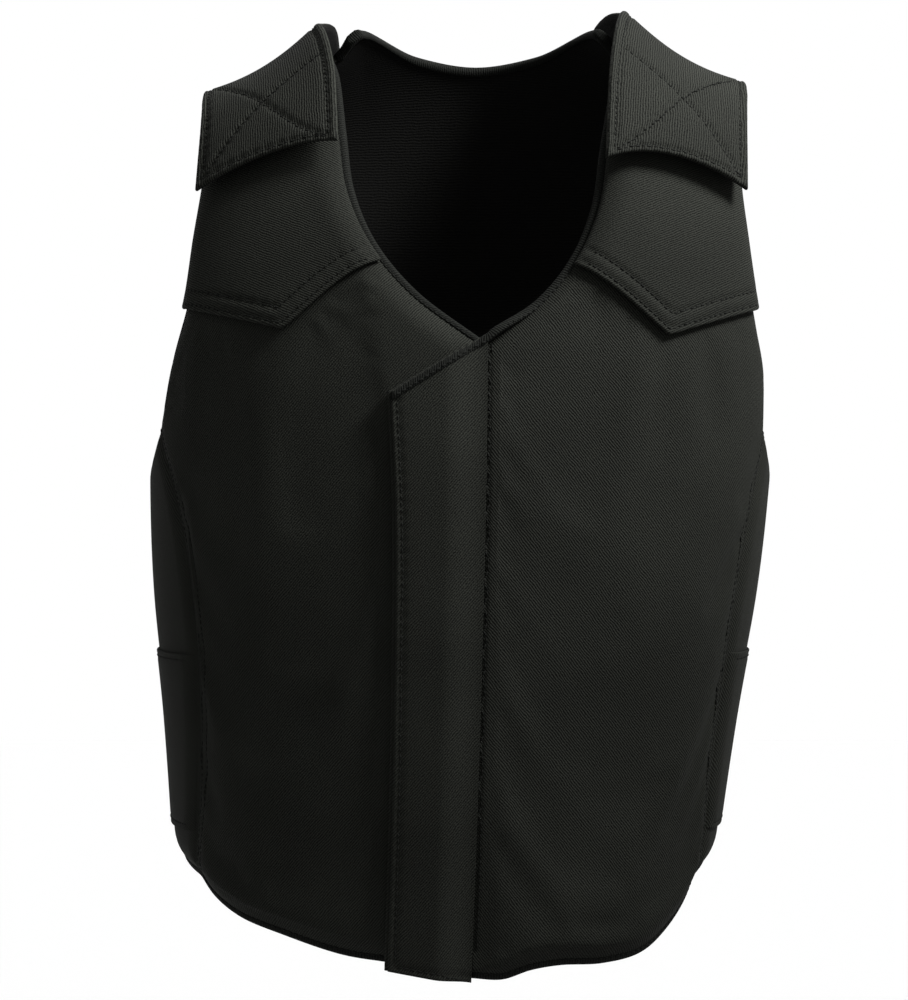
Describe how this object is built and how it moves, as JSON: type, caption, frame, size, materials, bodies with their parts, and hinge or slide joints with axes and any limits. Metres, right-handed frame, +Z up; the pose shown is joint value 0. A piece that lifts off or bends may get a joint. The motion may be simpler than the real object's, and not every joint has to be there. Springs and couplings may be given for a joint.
{
  "type": "protective riding vest",
  "caption": "Sleeveless padded riding vest with a flap-covered front closure, pointed chest yokes, side fastening tabs and broad ribbed shoulder straps.",
  "frame": {"origin": "between the shoulders, level with the places where the vest rests on them", "axes": "+Z up along the wearer, -Y to the front, +X to the wearer's left"},
  "size_m": [0.3445, 0.2452, 0.5298],
  "materials": {
    "panel_twill": "matt woven twill, near black",
    "strap_rib": "matt ribbed weave, near black",
    "edge_tape": "matt folded binding tape, black"
  },
  "bodies": {
    "root": {"front_panel_right": "panel_twill", "front_panel_left": "panel_twill", "back_panel_lower": "panel_twill", "back_panel_upper_right": "panel_twill", "back_panel_upper_left": "panel_twill", "side_panel_right": "panel_twill", "side_panel_left": "panel_twill", "front_flap": "panel_twill", "yoke_right": "panel_twill", "yoke_left": "panel_twill", "shoulder_strap_right": "strap_rib", "shoulder_strap_left": "strap_rib", "side_tab_right": "strap_rib", "side_tab_left": "strap_rib", "neck_binding_right": "edge_tape", "neck_binding_left": "edge_tape", "neck_binding_back": "edge_tape", "armhole_binding_right": "edge_tape", "armhole_binding_left": "edge_tape", "hem_binding": "edge_tape"}
  },
  "joints": []
}
